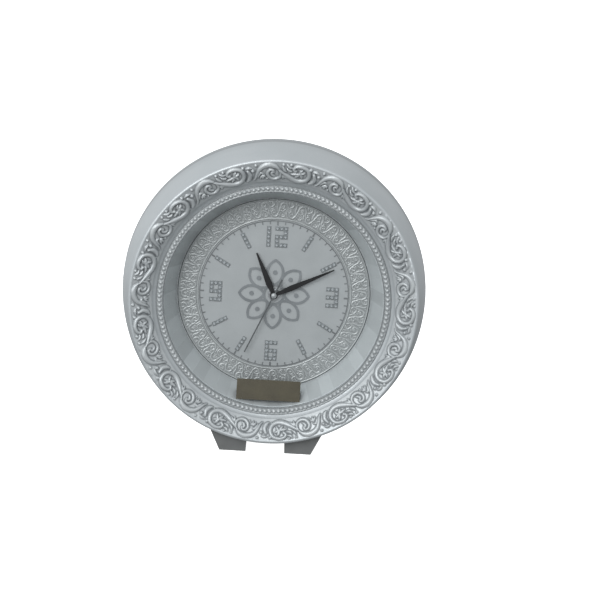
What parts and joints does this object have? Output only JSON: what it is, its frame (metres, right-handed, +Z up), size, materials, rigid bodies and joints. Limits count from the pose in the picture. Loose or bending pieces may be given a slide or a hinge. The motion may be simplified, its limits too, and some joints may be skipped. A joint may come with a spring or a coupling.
{
  "type": "wall clock",
  "caption": "Round silver wall clock with a deep dish frame, scrolled frieze, string of beads, pleated reflector, stone-set numerals and a quartz movement with turning hands.",
  "frame": {"origin": "on the hand axis, in the wall plane that the back of the rim lies on", "axes": "+Z up, +Y into the wall along the hand axis, the dial faces -Y, +X to the right seen from the front"},
  "size_m": [0.35, 0.079, 0.35],
  "materials": {
    "silver_paint": "satin silver paint over moulded plastic",
    "patina_silver": "bright silver relief with dark patina in the recesses",
    "pleat_silver": "plain silver paint on flat pleats",
    "dial_silver": "matte silver sheet",
    "band_silver": "stamped silver foil relief",
    "track_grey": "dark grey paint",
    "motif_grey": "satin grey",
    "setting_grey": "dark stone settings",
    "stone": "cut clear glass with foil backs",
    "hand_black": "black lacquer",
    "second_grey": "dark grey lacquer",
    "cap_silver": "polished",
    "case_black": "moulded black plastic",
    "wheel_white": "moulded natural plastic",
    "brass": "turned brass",
    "gasket_rubber": "black rubber",
    "magnet": "sintered magnet",
    "steel": "plain steel",
    "copper": "enamelled copper wire",
    "board_green": "printed circuit board",
    "chip_black": "black resin",
    "cell_jacket": "plain blue jacket",
    "cover_grey": "dark grey moulded sheet",
    "foot_grey": "dark grey plastic",
    "card": "plain brown card"
  },
  "bodies": {
    "case": {"frame_shell": "silver_paint", "frieze_ring": "patina_silver", "bead_ring": "patina_silver", "reflector_ring": "pleat_silver", "dial_plate": "dial_silver", "dial_band": "band_silver", "minute_track": "track_grey", "centre_motif": "motif_grey", "stone_settings": "setting_grey", "hour_stones": "stone", "movement_base": "case_black", "movement_cover": "case_black", "middle_plate": "wheel_white", "gasket": "gasket_rubber", "washer": "brass", "fixing_nut": "brass", "stator": "steel", "coil_core": "steel", "coil_winding": "copper", "circuit_board": "board_green", "driver_chip": "chip_black", "quartz_crystal": "steel", "contact_positive": "steel", "contact_negative": "steel", "back_cover": "cover_grey", "hanger_plate": "steel", "cover_screws": "steel", "dial_screws": "steel", "hanger_screws": "steel", "shelf_feet": "foot_grey", "price_card": "card"},
    "seconds": {"seconds_wheel": "wheel_white", "second_hand": "second_grey", "hand_cap": "cap_silver"},
    "third": {"third_wheel": "wheel_white"},
    "intermediate": {"intermediate_wheel": "wheel_white"},
    "rotor": {"rotor_magnet": "magnet", "rotor_pinion": "wheel_white"},
    "centre": {"centre_wheel": "wheel_white"},
    "minute": {"minute_cannon": "brass", "minute_hand": "hand_black"},
    "motion": {"motion_wheel": "wheel_white"},
    "hour": {"hour_wheel": "wheel_white", "hour_hand": "hand_black"},
    "knob": {"setting_knob": "wheel_white"},
    "cell": {"battery": "cell_jacket"}
  },
  "joints": [
    {"name": "second_hand_spin", "type": "hinge", "parent": "case", "child": "seconds", "pos_m": [0, 0, 0], "axis": [0, 1, 0], "continuous": true},
    {"name": "intermediate_spin", "type": "hinge", "parent": "case", "child": "intermediate", "pos_m": [0.00705, 0, 0.00257], "axis": [0, 1, 0], "continuous": true},
    {"name": "rotor_spin", "type": "hinge", "parent": "case", "child": "rotor", "pos_m": [0.01394, 0, 0.00378], "axis": [0, 1, 0], "continuous": true},
    {"name": "third_spin", "type": "hinge", "parent": "case", "child": "third", "pos_m": [-0.00177, 0, 0.01005], "axis": [0, 1, 0], "continuous": true},
    {"name": "centre_spin", "type": "hinge", "parent": "case", "child": "centre", "pos_m": [0, 0, 0], "axis": [0, 1, 0], "continuous": true},
    {"name": "minute_hand_spin", "type": "hinge", "parent": "case", "child": "minute", "pos_m": [0, 0, 0], "axis": [0, 1, 0], "continuous": true},
    {"name": "motion_spin", "type": "hinge", "parent": "case", "child": "motion", "pos_m": [-0.00677, 0, -0.00246], "axis": [0, 1, 0], "continuous": true},
    {"name": "hour_hand_spin", "type": "hinge", "parent": "case", "child": "hour", "pos_m": [0, 0, 0], "axis": [0, 1, 0], "continuous": true},
    {"name": "setting_knob_spin", "type": "hinge", "parent": "case", "child": "knob", "pos_m": [-0.01353, 0, 0], "axis": [0, 1, 0], "continuous": true},
    {"name": "battery_slide", "type": "slide", "parent": "case", "child": "cell", "axis": [0, 1, 0], "range_m": [0, 0.03]}
  ],
  "couplings": [
    {"joint": "intermediate_spin", "follows": "second_hand_spin", "ratio": -5},
    {"joint": "rotor_spin", "follows": "second_hand_spin", "ratio": 30},
    {"joint": "third_spin", "follows": "second_hand_spin", "ratio": -0.13333},
    {"joint": "centre_spin", "follows": "second_hand_spin", "ratio": 0.016667},
    {"joint": "motion_spin", "follows": "minute_hand_spin", "ratio": -0.33333},
    {"joint": "hour_hand_spin", "follows": "minute_hand_spin", "ratio": 0.083333},
    {"joint": "setting_knob_spin", "follows": "minute_hand_spin", "ratio": 1}
  ]
}
